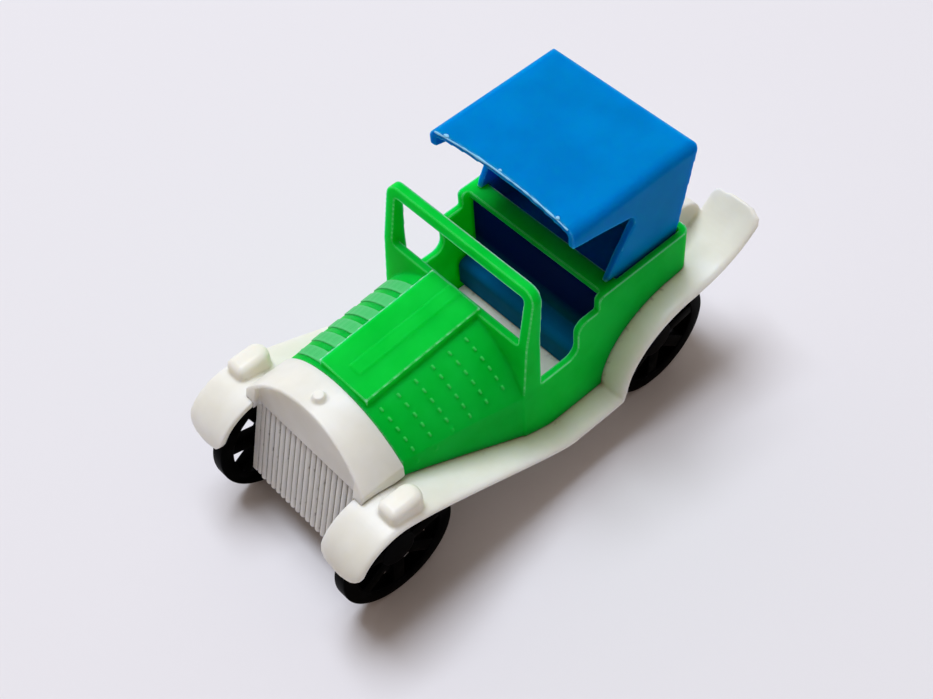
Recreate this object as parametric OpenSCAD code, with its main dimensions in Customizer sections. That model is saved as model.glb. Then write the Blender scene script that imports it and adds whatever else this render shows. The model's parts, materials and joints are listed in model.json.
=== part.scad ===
// Toy vintage car: an ivory chassis with fenders, a green body, a blue roof and black wheels.
// +X points forward, +Y to the car's left, +Z up. Origin: on the ground, under the middle of the length.

/* [Wheels and axles] */
// Distance between the two axles
wheelbase = 52; // [48:0.5:58]
// Distance between the middle planes of a left and a right wheel
track = 27.8; // [27:0.1:29]
// Diameter of a wheel
wheel_d = 19.6; // [18:0.2:21]
// Width of a wheel across its tread
wheel_w = 2.2; // [1.8:0.1:2.6]
// Radial thickness of the wheel rim
rim_t = 2.3; // [1.6:0.1:3]
// Diameter of the wheel hub
hub_d = 6; // [4.8:0.1:6.6]
// Number of spokes in a wheel
spoke_count = 7; // [5:1:9]
// Width of a spoke
spoke_w = 2.1; // [1:0.1:2.4]
// Diameter of an axle
axle_d = 2.4; // [2:0.1:2.8]
// Radial running clearance between an axle and its clip
axle_play = 0.06; // [0.03:0.01:0.1]
// Radial interference of the axle in a wheel hub
hub_squeeze = 0.02; // [0.01:0.01:0.04]
// Side gap between a wheel hub and the chassis
hub_gap = 0.3; // [0.2:0.05:0.5]

/* [Fenders] */
// Width of the car over its fenders
car_w = 38.4; // [36:0.2:42]
// Thickness of a fender
fender_t = 1; // [0.8:0.1:1.4]
// Extra depth of the lip along a fender's outer edge
lip_depth = 0.6; // [0.4:0.1:1.2]
// Width of that lip
lip_w = 0.9; // [0.6:0.1:1.4]
// Room between the top of a wheel and its fender
arch_gap = 1.4; // [1:0.1:2.5]
// Reach of the front fenders ahead of the front axle
front_overhang = 10.2; // [10:0.1:12]
// Reach of the tail behind the rear axle
rear_overhang = 16.5; // [15:0.1:18]
// Height of the front edge of a front fender
tip_z = 15.4; // [14:0.1:17]
// Height of the tail's rear edge
tail_z = 28.2; // [25:0.1:30]
// Height of the running boards
board_z = 9.9; // [9:0.1:10.8]
// Flat length of a running board
board_l = 9.75; // [6:0.25:12]
// Rounding of the fender corners
corner_r = 3.2; // [2:0.1:4]
// Corner radius of the tail, seen from above
tail_r = 2.2; // [1.5:0.1:3.5]
// Thickness of the inner arch walls, the floor and the trunk
chassis_t = 1.2; // [1:0.1:1.6]
// Length of a headlamp
lamp_l = 5.9; // [5:0.1:8]
// Width of a headlamp
lamp_w = 3.8; // [3.2:0.1:5]
// Height of a headlamp above the fender
lamp_h = 2.3; // [1.6:0.1:3]
// Width of the luggage trunk at the tail
trunk_w = 20.8; // [16:0.2:21.4]
// Length of the luggage trunk
trunk_l = 7.2; // [5:0.1:8.4]
// Height of the luggage trunk's top
trunk_z = 28.8; // [26:0.1:30]

/* [Radiator] */
// Depth of the radiator shell at its foot
shell_l = 6.6; // [5:0.1:8]
// Height of the radiator shell's crown
shell_z = 29.6; // [28:0.1:31]
// How far the shell stands proud of the bonnet's sides
shell_step = 0.5; // [0.2:0.05:0.7]
// How far the shell's brow stands ahead of the grille
brow_lead = 1.35; // [0.8:0.05:1.8]
// Wall thickness of the shell
shell_t = 1.3; // [1:0.1:1.8]
// Backward lean of the radiator
radiator_lean = 15; // [10:0.5:17]
// Height of the shell's lower front edge
visor_z = 21; // [20:0.1:22]
// Height of the grille's lower edge
grille_z = 6.5; // [5.5:0.1:8]
// Number of grille ribs
rib_count = 18; // [12:1:20]
// Diameter of a grille rib
rib_d = 1; // [0.7:0.05:1.1]
// Diameter of the radiator cap
cap_d = 2.2; // [1.6:0.1:3]

/* [Body] */
// Outer width of the cab
cab_w = 29.5; // [28.5:0.1:30.5]
// Wall thickness of the body
wall_t = 1.2; // [1:0.1:1.4]
// Outer width of the bonnet
bonnet_w = 24.4; // [24:0.1:25]
// Arch radius of the bonnet's top
bonnet_r = 16; // [14:0.2:20]
// Height of the bonnet's crown at the radiator
bonnet_z = 29.2; // [28:0.1:30.4]
// Rise of the bonnet towards the windscreen, in degrees
bonnet_rise = 4.5; // [2:0.25:6]
// Width of the flat raised panel on the bonnet
panel_w = 9.9; // [7:0.1:12]
// Height of that panel above the crown
panel_h = 0.5; // [0.3:0.05:0.8]
// Rows of raised dashes on each side of the bonnet, as louvres
louvre_count = 6; // [3:1:6]
// Distance between these rows
louvre_pitch = 3.1; // [2.6:0.1:3.2]
// Dashes in a row
dash_count = 6; // [3:1:6]
// Height of the windscreen frame
screen_z = 41.1; // [39:0.1:43]
// Width of a windscreen post
post_w = 1.7; // [1.2:0.1:2.6]
// Height of the windscreen's top bar
bar_h = 1.7; // [1.2:0.1:3]
// Height of the windscreen opening's sill
screen_sill_z = 30.7; // [29.5:0.1:31.5]
// Height of the tub's top edge
tub_z = 30; // [29:0.1:31]
// Depth of the shelf behind the seat
shelf_l = 3.1; // [2.9:0.1:3.6]
// Height of the step in the door cut
step_z = 27.3; // [26:0.1:28]
// Height of the door sill
sill_z = 21.3; // [19.5:0.1:23]

/* [Roof and seat] */
// How far the roof's sides stand in from the cab's sides
roof_inset = 0.65; // [0.4:0.05:1]
// Height of the roof's top
roof_z = 46.6; // [44:0.1:49]
// Wall thickness of the roof
roof_t = 1.2; // [1:0.1:1.5]
// Rounding of the roof's upper edges
roof_r = 1.7; // [1.5:0.1:2.4]
// Depth of the valance at the roof's front edge
valance_h = 3; // [2.4:0.1:4.5]
// Side clearance of the roof in the tub
roof_gap = 0.2; // [0.15:0.05:0.3]
// Depth of the roof's walls inside the tub
roof_seat_h = 6; // [4:0.1:7]
// Height of the seat cushion above the floor
cushion_h = 4.9; // [3.5:0.1:6]
// Depth of the seat cushion
cushion_l = 5.2; // [4:0.1:6]
// Thickness of the seat back
back_t = 1.5; // [1.2:0.1:2]
// Gap between the seat back and the shelf over it
back_gap = 0.3; // [0.2:0.05:1]
// Diameter of the pegs that hold the pieces on the floor
peg_d = 2.4; // [1.8:0.1:3]
// Radial clearance of a peg in its hole
peg_play = 0.05; // [0.02:0.01:0.1]
// Seam between pieces that stand on each other
seam = 0.05; // [0.03:0.01:0.1]

/* [Hidden] */
$fn = 64;

ivory = "#E4E2DA";
green = "#10B43C";
blue = "#0079C4";
black = "#161618";

// Overlap that lets joined volumes run into each other, and a length beyond every solid
weld = 0.2;
far = 100;

// Lengthwise places
overall_l = front_overhang + wheelbase + rear_overhang;
tip_x = overall_l / 2;
front_axle_x = tip_x - front_overhang;
rear_axle_x = front_axle_x - wheelbase;
tail_x = rear_axle_x - rear_overhang;

// Wheels
wheel_r = wheel_d / 2;
axle_r = axle_d / 2;
wheel_in_y = (track - wheel_w) / 2;
hub_depth = wheel_w * 0.75;
spoke_turn = 18;
hub_boss = 0.3;
axle_l = 2 * (wheel_in_y + hub_depth);

// Fender profile: crowns over the wheels, the sweep between them and the tail
crown_z = wheel_d + arch_gap + fender_t;
crown_lead = 2;
crown_lag = 3;
arch_reach = 5;
front_crown_x = front_axle_x + crown_lead;
rear_crown_x = rear_axle_x - crown_lag;
rear_arch_l = wheel_r + arch_reach;
board_rear_x = rear_crown_x + rear_arch_l;
board_front_x = board_rear_x + board_l;
sweep_lead = 5.5;
sweep_tail = 3.5;
tail_lead = 9;
tail_lift = 0.6;
path_steps = 12;

// Inner arch walls stand between the wheels, and the floor between the walls
wall_out_y = wheel_in_y - hub_gap - hub_boss;
wall_in_y = wall_out_y - chassis_t;
floor_gap = 0.5;
floor_z0 = wheel_r + axle_r + floor_gap;
floor_z = floor_z0 + chassis_t;
board_under_z = board_z - fender_t;
clip_t = 1.2;
clip_r = axle_r + clip_t;
clip_l = 2.2;
clip_slot = axle_d * 0.8;
lobe_l = 10.4;
lobe_t = 1.8;
lobe_z = wheel_r - axle_r - lobe_t;

// Flat pad under the floor between its peg holes, where a stand can hold the car
pad_l = 16;
pad_w = 14;
pad_h = 0.8;

// Radiator
visor_lead = 2.1;
visor_x = front_axle_x + visor_lead;
shell_rear_x = visor_x - shell_l;
shell_w = bonnet_w + 2 * shell_step;
floor_lead = 1;
floor_front_x = front_axle_x + floor_lead;
grille_w = 2 * wall_in_y - 4 * seam;
rib_recess = 0.3;
brow_x = visor_x + brow_lead;
brow_w = 2;
brow_t = 0.6;
// The lens of the front starts at the grille and ends in the brow at the crown
lens_lean = atan(tan(radiator_lean) - brow_lead / (shell_z - visor_z));
column_x = shell_rear_x + shell_l / 2;
cap_h = 0.9;
nose_setback = 0.4;

// Body
bonnet_front_x = shell_rear_x - seam;
screen_lead = 24;
screen_x = rear_axle_x + screen_lead;
screen_t = 1.5;
screen_back = 0.6;
screen_r = 2;
cowl_step = 0.8;
cowl_lead = 3.4;
cowl_rise = 0.6;
cowl_x = screen_x + cowl_lead;
cowl_z = screen_sill_z + cowl_rise;
bonnet_l = bonnet_front_x - cowl_x;
bonnet_spare = 5;
tub_lag = 6;
tub_rear_x = rear_axle_x - tub_lag;
tub_r = 1.5;
tub_in_y = cab_w / 2 - wall_t;
trunk_rear_x = tub_rear_x - 2 * seam - trunk_l;
shelf_lead = 11.4;
shelf_x = rear_axle_x + shelf_lead;
shelf_rear_x = shelf_x - shelf_l;
bulkhead_x = shelf_rear_x + wall_t;
dash_lead = 1.2;
dash_x = screen_x + dash_lead;

// Door cut: a sill, a round rise to a step, and a small rise to the tub's edge
step_lead = 1.2;
step_l = 4.1;
step_rear_x = shelf_x + step_lead;
door_rear_x = step_rear_x + step_l;
door_r = 1.8;
step_r = 0.8;

// Roof
roof_w = cab_w - 2 * roof_inset;
roof_lead = 17.2;
roof_lag = 7;
roof_front_x = rear_axle_x + roof_lead;
roof_rear_x = rear_axle_x - roof_lag;
roof_bow = 1.1;
bow_r = (pow(roof_w / 2, 2) + pow(roof_bow, 2)) / (2 * roof_bow);
roof_foot_x = tub_rear_x + wall_t + roof_gap;
roof_low_z = tub_z - roof_seat_h;
roof_in_y = tub_in_y - roof_gap;
panel_front_x = shelf_rear_x - roof_gap;
notch_l = 3.8;
notch_drop = 3.2;
notch_foot = 1.9;
notch_x = panel_front_x - notch_l;
notch_z = roof_z - valance_h - notch_drop;
notch_foot_x = panel_front_x + notch_foot;
notch_r = 1.5;
ledge_h = 1.5;
ledge_l = 7;
rest_gap = 0.1;

// Seat
seat_gap = 0.2;
seat_rear_x = bulkhead_x + seat_gap;
back_z = tub_z - wall_t - back_gap;
seat_front_x = seat_rear_x + cushion_l;
seat_side_gap = 0.5;
seat_w = 2 * (tub_in_y - seat_side_gap);
seat_r = 1.2;

// Pegs: places on the floor as [x, y]
peg_l = chassis_t;
peg_y = 6;
column_t = 0.6;
column_d = peg_d + 2 * column_t;
body_pegs = [for (x = [dash_x, bulkhead_x - peg_d / 2], y = [-peg_y, peg_y]) [x, y]];
radiator_pegs = [for (y = [-peg_y, peg_y]) [column_x, y]];
seat_pegs = [[seat_rear_x + cushion_l / 2, 0]];

// Line of the arch walls' front edges, which lean with the grille, at height z
function nose_x(z) = visor_x + (visor_z - z) * tan(radiator_lean) - nose_setback;

// Points of a curve through Bezier handles, and of a quarter ellipse
function lerp(a, b, t) = a + (b - a) * t;
function bezier(h, t) = len(h) == 1 ? h[0] :
    bezier([for (i = [0 : len(h) - 2]) lerp(h[i], h[i + 1], t)], t);
function curve(h) = [for (i = [1 : path_steps]) bezier(h, i / path_steps)];
function quarter(c, a, b, from, to) =
    [for (i = [0 : path_steps]) let (w = lerp(from, to, i / path_steps)) c + [a * cos(w), b * sin(w)]];

// Top line of a fender from its front edge to the tail
fender_path = concat(
    quarter([front_crown_x, tip_z], tip_x - front_crown_x, crown_z - tip_z, 0, 90),
    curve([[front_crown_x, crown_z], [front_crown_x - sweep_lead, crown_z],
        [board_front_x + sweep_tail, board_z], [board_front_x, board_z]]),
    quarter([rear_crown_x, board_z], rear_arch_l, crown_z - board_z, 0, 90),
    curve([[rear_crown_x, crown_z], [rear_crown_x - tail_lead, crown_z + tail_lift], [tail_x, tail_z]]));

// The same line moved outwards by d along its normals
function path_dir(i) = let (n = len(fender_path) - 1,
    v = fender_path[min(i + 1, n)] - fender_path[max(i - 1, 0)]) v / norm(v);
function moved_path(d) = [for (i = [0 : len(fender_path) - 1])
    let (v = path_dir(i)) fender_path[i] + d * [v[1], -v[0]]];
function reversed(list) = [for (i = [len(list) - 1 : -1 : 0]) list[i]];

// Extrusions of a drawing along Y, drawn in X and Z, and along X, drawn in Y and Z
module along_y(y0, y1) {
    translate([0, y1, 0]) rotate([90, 0, 0]) linear_extrude(y1 - y0) children();
}
module along_x(x0, x1) {
    translate([x0, 0, 0]) rotate([90, 0, 90]) linear_extrude(x1 - x0) children();
}
module both_sides() {
    children();
    mirror([0, 1, 0]) children();
}

// Band of thickness t under the fender's top line, and everything below the line moved out by d
module fender_band(t) {
    intersection() {
        polygon(concat(fender_path, reversed(moved_path(-t))));
        translate([tail_x, 0]) square(far);
    }
}
module below_fender(d) {
    polygon(concat([[tip_x + d, -far]], moved_path(d), [[tail_x, -far]]));
}

// Room taken by the fenders, arch walls and floor, with a seam, cut from what stands on them
module chassis_room() {
    both_sides() along_y(wall_in_y - seam, far) below_fender(seam);
    translate([-far, -wall_in_y, -far]) cube([2 * far, 2 * wall_in_y, far + floor_z + seam]);
    both_sides() translate([rear_crown_x, wall_in_y - seam, -far])
        cube([front_axle_x + seam - rear_crown_x, chassis_t + 2 * seam, far + floor_z + seam]);
}

// Square corner to be cut off, leaving a round corner of radius r at the origin
module corner_cut(r) {
    difference() {
        translate([-r, -r]) square(r + 1);
        translate([-r, -r]) circle(r);
    }
}

// Axle clip seen from the side: its bore and the slot that the axle snaps through
module clip_cut() {
    circle(axle_r + axle_play);
    translate([-clip_slot / 2, -far]) square([clip_slot, far]);
}

module fender() {
    out_y = car_w / 2;
    tail_in_y = trunk_w / 2 - weld;
    difference() {
        union() {
            along_y(wall_in_y, out_y) fender_band(fender_t);
            along_y(out_y - lip_w, out_y) fender_band(fender_t + lip_depth);
            // Behind the tub the tail reaches in to the box
            along_y(tail_in_y, wall_in_y + weld) intersection() {
                fender_band(fender_t);
                translate([tail_x, 0]) square([trunk_l, far]);
            }
        }
        // Round corners of the front edge, seen from the front
        translate([0, 0, tip_z]) along_x(front_crown_x, tip_x + 1) {
            translate([out_y, 0]) rotate(-90) corner_cut(corner_r);
            translate([wall_in_y, 0]) rotate(180) corner_cut(corner_r);
        }
        // Round corners of the tail, seen from above
        translate([tail_x, 0, crown_z - fender_t]) linear_extrude(far) {
            translate([0, out_y]) rotate(90) corner_cut(tail_r);
            translate([0, tail_in_y]) rotate(180) corner_cut(tail_r / 2);
        }
    }
}

module arch_wall() {
    wall_rear_x = tail_x + corner_r + 1;
    difference() {
        along_y(wall_in_y, wall_out_y) {
            intersection() {
                below_fender(-fender_t / 2);
                polygon([[nose_x(far), far], [nose_x(lobe_z), lobe_z],
                    [front_axle_x - lobe_l / 2, lobe_z], [front_axle_x - lobe_l, board_under_z],
                    [rear_axle_x + lobe_l, board_under_z], [rear_axle_x + lobe_l / 2, lobe_z],
                    [rear_axle_x - lobe_l / 2, lobe_z], [trunk_rear_x, floor_z0],
                    [wall_rear_x, crown_z - 3 * fender_t], [wall_rear_x, far]]);
            }
            translate([rear_crown_x, board_under_z])
                square([front_axle_x - rear_crown_x, floor_z - board_under_z]);
        }
        clip_bores();
    }
    difference() {
        for (x = [front_axle_x, rear_axle_x]) {
            along_y(wall_in_y - clip_l, wall_in_y + weld) {
                translate([x, wheel_r]) circle(clip_r);
                translate([x - clip_r, wheel_r]) square([2 * clip_r, floor_z0 + weld - wheel_r]);
            }
        }
        clip_bores();
    }
}

module clip_bores() {
    for (x = [front_axle_x, rear_axle_x])
        along_y(0, far) translate([x, wheel_r]) clip_cut();
}

module headlamp() {
    lamp_shift = 1.4;
    lamp_y = (wall_in_y + car_w / 2) / 2 + lamp_shift;
    lamp_r = lamp_w / 2;
    edge_r = lamp_w * 0.28;
    base_z = crown_z - fender_t / 2;
    top_z = crown_z + lamp_h;
    translate([0, lamp_y, 0]) {
        along_x(visor_x - lamp_l + lamp_r, visor_x) {
            translate([-lamp_r, base_z]) square([lamp_w, top_z - edge_r - base_z]);
            translate([-lamp_r + edge_r, base_z]) square([lamp_w - 2 * edge_r, top_z - base_z]);
            for (s = [-1, 1]) translate([s * (lamp_r - edge_r), top_z - edge_r]) circle(edge_r);
        }
        translate([visor_x - lamp_l + lamp_r, 0, base_z]) rotate_extrude() {
            square([lamp_r, top_z - edge_r - base_z]);
            square([lamp_r - edge_r, top_z - base_z]);
            translate([lamp_r - edge_r, top_z - edge_r - base_z]) intersection() {
                circle(edge_r);
                square(edge_r);
            }
        }
    }
}

// Side view of the luggage trunk, shrunk by d
module trunk_side(d) {
    round_r = trunk_l * 0.62;
    low_z = floor_z0 - d;
    translate([trunk_rear_x + d, low_z]) square([trunk_l - 2 * d, trunk_z - round_r - low_z]);
    translate([trunk_rear_x + round_r, low_z]) square([trunk_l - round_r - d, trunk_z - d - low_z]);
    translate([trunk_rear_x + round_r, trunk_z - round_r]) intersection() {
        circle(round_r - d);
        translate([-round_r, 0]) square(round_r);
    }
}

module trunk() {
    difference() {
        along_y(-trunk_w / 2, trunk_w / 2) trunk_side(0);
        trunk_hollow();
    }
}

module trunk_hollow() {
    along_y(-trunk_w / 2 + chassis_t, trunk_w / 2 - chassis_t) trunk_side(chassis_t);
}

module chassis() {
    color(ivory) difference() {
        union() {
            both_sides() {
                fender();
                arch_wall();
                headlamp();
            }
            translate([trunk_rear_x, -wall_in_y - weld, floor_z0])
                cube([floor_front_x - trunk_rear_x, 2 * (wall_in_y + weld), chassis_t]);
            trunk();
            translate([(dash_x + column_x - pad_l) / 2, -pad_w / 2, floor_z0 - pad_h])
                cube([pad_l, pad_w, pad_h + weld]);
        }
        trunk_hollow();
        for (p = concat(body_pegs, radiator_pegs, seat_pegs))
            translate([p[0], p[1], floor_z0 - 1]) cylinder(d = peg_d, h = chassis_t + 2);
    }
}

// Pegs that reach through the floor, below a piece that stands on it
module pegs(places) {
    for (p = places)
        translate([p[0], p[1], floor_z - peg_l]) cylinder(d = peg_d - 2 * peg_play, h = peg_l + seam + weld);
}

// End view of an arch of width w and crown z, with legs down to the ground
module arch(w, z, r) {
    intersection() {
        translate([-w / 2, 0]) square([w, z + 1]);
        union() {
            translate([0, z - r]) circle(r);
            translate([-w / 2, 0]) square([w, z - r]);
        }
    }
}

// Everything behind a plane that leans back and crosses the visor's height at x
module behind_plane(x, lean) {
    translate([x, 0, visor_z]) rotate([0, -lean, 0]) translate([-far, -far / 2, -far / 2]) cube(far);
}

// Arched form of the shell, moved in by d and drawn from x to the plane at front
module shell_form(d, x, front, lean) {
    intersection() {
        along_x(x, tip_x) arch(shell_w - 2 * d, shell_z - d, bonnet_r - d);
        behind_plane(front, lean);
    }
}

module radiator_shell() {
    difference() {
        shell_form(0, shell_rear_x, brow_x, radiator_lean);
        shell_form(shell_t, shell_rear_x - 1, visor_x - shell_t, lens_lean);
        // Lens of the front, sunk between the ends of the brow
        difference() {
            along_x(shell_rear_x, tip_x) arch(shell_w - 2 * brow_w, shell_z - brow_t, bonnet_r - brow_t);
            behind_plane(visor_x, lens_lean);
        }
        translate([-far, -far, -far]) cube([2 * far, 2 * far, far + visor_z]);
        chassis_room();
    }
}

module grille() {
    slab_t = 0.9;
    length = (visor_z - grille_z) / cos(radiator_lean);
    front = -rib_recess - rib_d / 2;
    pitch = (grille_w - rib_d) / (rib_count - 1);
    translate([visor_x, 0, visor_z]) rotate([0, -radiator_lean, 0]) {
        translate([front - slab_t, -grille_w / 2, -length + rib_d / 2])
            cube([slab_t, grille_w, length - rib_d / 2 + shell_t]);
        for (i = [0 : rib_count - 1]) translate([front, -grille_w / 2 + rib_d / 2 + i * pitch, 0]) {
            translate([0, 0, -length + rib_d / 2]) cylinder(d = rib_d, h = length, $fn = 24);
            translate([0, 0, -length + rib_d / 2]) sphere(d = rib_d, $fn = 24);
        }
    }
}

module radiator() {
    color(ivory) {
        radiator_shell();
        grille();
        translate([column_x, 0, shell_z - shell_t / 2]) cylinder(d = cap_d, h = cap_h + shell_t / 2);
        for (p = radiator_pegs) intersection() {
            translate([p[0], p[1], floor_z + seam]) cylinder(d = column_d, h = shell_z - floor_z);
            shell_form(shell_t / 2, shell_rear_x, visor_x - shell_t / 2, lens_lean);
        }
        pegs(radiator_pegs);
    }
}

// Places a bonnet shape, drawn with its crown at the radiator's rear edge, at the bonnet's rise
module at_bonnet() {
    intersection() {
        translate([bonnet_front_x, 0, bonnet_z]) rotate([0, bonnet_rise, 0]) children();
        translate([cowl_x - screen_t, -far, 0]) cube([bonnet_front_x - cowl_x + screen_t, 2 * far, far]);
    }
}

// Half the bonnet's width at the distance u behind the radiator; it widens to the cab
function bonnet_half(u) = lerp(bonnet_w, cab_w, u / bonnet_l) / 2;

// Form of the bonnet, moved in by d and drawn with its crown at the radiator's rear edge
module bonnet_form(d) {
    front_y = bonnet_w / 2 - d;
    rear_y = cab_w / 2 - d;
    ahead = bonnet_spare + d;
    behind = -bonnet_l - bonnet_spare - d;
    translate([0, 0, -bonnet_z]) intersection() {
        along_x(behind, ahead) arch(cab_w - 2 * d, bonnet_z - d, bonnet_r - d);
        linear_extrude(far) polygon([[ahead, front_y], [0, front_y], [-bonnet_l, rear_y], [behind, rear_y],
            [behind, -rear_y], [-bonnet_l, -rear_y], [0, -front_y], [ahead, -front_y]]);
    }
}

// Row of raised dashes down a side half as wide as half, drawn from the middle of the bonnet's arch
module dash_row(half) {
    dash_h = 0.15;
    dash_w = 0.3;
    dash_l = 0.7;
    dash_turn = 6;
    first_turn = 23.5;
    side_drop = 7.5;
    root = wall_t / 2;
    for (j = [0 : dash_count - 1]) {
        turn = first_turn + j * dash_turn;
        if (bonnet_r * sin(turn) < half) rotate([-turn, 0, 0])
            translate([-dash_w / 2, -dash_l / 2, bonnet_r - root]) cube([dash_w, dash_l, root + dash_h]);
        // Where the arch ends above it, a dash stands on the upright side
        else translate([-dash_w / 2, half - root, bonnet_r - side_drop - dash_l / 2])
            cube([dash_w, root + dash_h, dash_l]);
    }
}

module bonnet() {
    louvre_lead = 1.9;
    panel_gap = 0.7;
    rib_w = 2.2;
    rib_h = 0.2;
    rib_gap = 3;
    at_bonnet() difference() {
        union() {
            bonnet_form(0);
            along_x(-bonnet_l - bonnet_spare, -panel_gap)
                translate([-panel_w / 2, -wall_t]) square([panel_w, wall_t + panel_h]);
            along_x(-bonnet_l - bonnet_spare, -rib_gap)
                translate([-rib_w / 2, -wall_t]) square([rib_w, wall_t + panel_h + rib_h]);
            for (i = [0 : louvre_count - 1]) let (u = louvre_lead + i * louvre_pitch)
                translate([-u, 0, -bonnet_r]) both_sides() dash_row(bonnet_half(u));
        }
        bonnet_form(wall_t);
    }
}

module windscreen() {
    open_y = cab_w / 2 - post_w;
    open_z = screen_z - bar_h;
    open_r = 0.8;
    difference() {
        along_y(-cab_w / 2, cab_w / 2)
            polygon([[screen_x - screen_back, screen_z], [screen_x - screen_back + screen_t, screen_z],
                [cowl_x - cowl_step, cowl_z], [cowl_x, sill_z], [cowl_x, 0],
                [cowl_x - screen_t, 0], [cowl_x - screen_t, sill_z], [screen_x, sill_z], [screen_x, cowl_z]]);
        along_x(screen_x - far / 2, cowl_x + 1) {
            translate([-open_y + open_r, screen_sill_z])
                square([2 * (open_y - open_r), open_z - screen_sill_z]);
            translate([-open_y, screen_sill_z + open_r])
                square([2 * open_y, open_z - screen_sill_z - 2 * open_r]);
            for (y = [-1, 1], z = [screen_sill_z + open_r, open_z - open_r])
                translate([y * (open_y - open_r), z]) circle(open_r);
        }
        // Cab side of the wall below the opening, which is thinner than the posts
        translate([screen_x - 1, -open_y, sill_z + wall_t])
            cube([cowl_x - cowl_step - wall_t - screen_x + 1, 2 * open_y, screen_sill_z - sill_z]);
        both_sides() along_x(screen_x - 2, cowl_x) translate([cab_w / 2, screen_z]) corner_cut(screen_r);
    }
}

// Side view of a tub wall with its door cut
module tub_side() {
    difference() {
        translate([tub_rear_x, 0]) square([cowl_x - tub_rear_x, tub_z]);
        translate([door_rear_x + door_r, sill_z]) square([far, far]);
        translate([door_rear_x, sill_z + door_r]) square([far, far]);
        translate([door_rear_x + door_r, sill_z + door_r]) circle(door_r);
        translate([step_rear_x, step_z]) square([far, far]);
        translate([door_rear_x, step_z]) corner_cut(door_r);
        translate([step_rear_x, tub_z]) corner_cut(step_r);
    }
}

module tub() {
    both_sides() along_y(tub_in_y, cab_w / 2) tub_side();
    translate([tub_rear_x, -cab_w / 2, 0]) cube([wall_t, cab_w, tub_z]);
    // Bulkhead behind the seat, with the shelf over the seat back
    along_y(-tub_in_y - weld, tub_in_y + weld) {
        translate([shelf_rear_x, 0]) square([wall_t, tub_z]);
        translate([shelf_rear_x, tub_z - wall_t]) square([shelf_l, wall_t]);
    }
    // Ledges that the roof's side walls stand on
    both_sides() translate([rear_crown_x, tub_in_y - roof_t - roof_gap, roof_low_z - rest_gap - ledge_h])
        cube([ledge_l, roof_t + roof_gap + weld, ledge_h]);
}

module body() {
    color(green) {
        difference() {
            union() {
                bonnet();
                windscreen();
                tub();
            }
            chassis_room();
            both_sides() translate([tub_rear_x, cab_w / 2, -far])
                linear_extrude(3 * far) rotate(90) corner_cut(tub_r);
        }
        for (p = [for (y = [-peg_y, peg_y]) [dash_x, y]])
            translate([p[0], p[1], floor_z + seam]) cylinder(d = column_d, h = sill_z - floor_z + 1);
        pegs(body_pegs);
    }
}

// End view of the roof: flat top, round edges and legs that draw in towards the tub
module roof_end(d) {
    top_y = roof_w / 2 - d;
    low_y = roof_in_y - d;
    top_z = roof_z - d;
    r = roof_r - d;
    polygon([[-top_y, top_z - r], [-low_y, tub_z], [-low_y, 0],
        [low_y, 0], [low_y, tub_z], [top_y, top_z - r]]);
    translate([-top_y + r, tub_z]) square([2 * (top_y - r), top_z - tub_z]);
    for (s = [-1, 1]) translate([s * (top_y - r), top_z - r]) circle(r);
}

// Line of the roof's rear wall at height z
function roof_back_x(z) = lerp(roof_foot_x, roof_rear_x, (z - tub_z) / (roof_z - tub_z));

roof_deck_x = roof_back_x(roof_low_z) + roof_t / 2;

// Side view of the roof, with its back moved in by d
module roof_side(d) {
    difference() {
        polygon([[roof_back_x(roof_z) + d, roof_z + 1], [roof_front_x + (d > 0 ? 1 : 0), roof_z + 1],
            [roof_front_x + (d > 0 ? 1 : 0), roof_low_z - d], [roof_back_x(roof_low_z) + d, roof_low_z - d]]);
        if (d == 0) translate([roof_back_x(roof_z), roof_z]) rotate(90) corner_cut(roof_r);
    }
}

// Opening at each side, between the valance and the rear panel, with a round rear end
module roof_opening() {
    tip = [notch_x, notch_z];
    valance_end = [roof_front_x, roof_z - valance_h];
    foot = [notch_foot_x, tub_z + rest_gap];
    a = (valance_end - tip) / norm(valance_end - tip);
    b = (foot - tip) / norm(foot - tip);
    half_angle = acos(a * b) / 2;
    reach = notch_r / tan(half_angle);
    middle = tip + (a + b) / norm(a + b) * notch_r / sin(half_angle);
    polygon([[far, roof_low_z - 1], [far, valance_end[1]], valance_end, tip + a * reach, tip + b * reach,
        foot, [panel_front_x, foot[1]], [panel_front_x, roof_low_z - 1]]);
    translate(middle) circle(notch_r);
}

module roof() {
    color(blue) {
        difference() {
            intersection() {
                along_x(roof_rear_x - 1, roof_front_x + 1) roof_end(0);
                along_y(-far, far) roof_side(0);
            }
            intersection() {
                along_x(roof_rear_x - 1, roof_front_x + 2) roof_end(roof_t);
                along_y(-far, far) roof_side(roof_t);
            }
            along_y(-far, far) roof_opening();
            // The front edge is drawn in towards its middle
            translate([roof_front_x - roof_bow + bow_r, 0, tub_z]) cylinder(r = bow_r, h = far, $fn = 256);
        }
        // Floor between the walls, which closes the tub behind the shelf
        translate([roof_deck_x, -roof_in_y + roof_t / 2, roof_low_z])
            cube([panel_front_x - roof_deck_x, 2 * roof_in_y - roof_t, roof_t]);
    }
}

// Side view of the bench seat
module seat_side() {
    top_z = floor_z + cushion_h;
    low_z = floor_z + seam;
    translate([seat_rear_x, low_z]) square([cushion_l - seat_r, top_z - low_z]);
    translate([seat_rear_x, low_z]) square([cushion_l, top_z - seat_r - low_z]);
    translate([seat_front_x - seat_r, top_z - seat_r]) circle(seat_r);
    translate([seat_rear_x, low_z]) square([back_t, back_z - back_t / 2 - low_z]);
    translate([seat_rear_x + back_t / 2, back_z - back_t / 2]) circle(back_t / 2);
}

module seat() {
    color(blue) {
        difference() {
            along_y(-seat_w / 2, seat_w / 2) seat_side();
            chassis_room();
        }
        pegs(seat_pegs);
    }
}

module axle(x) {
    color(black) translate([x, axle_l / 2, wheel_r]) rotate([90, 0, 0]) cylinder(r = axle_r, h = axle_l);
}

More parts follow.
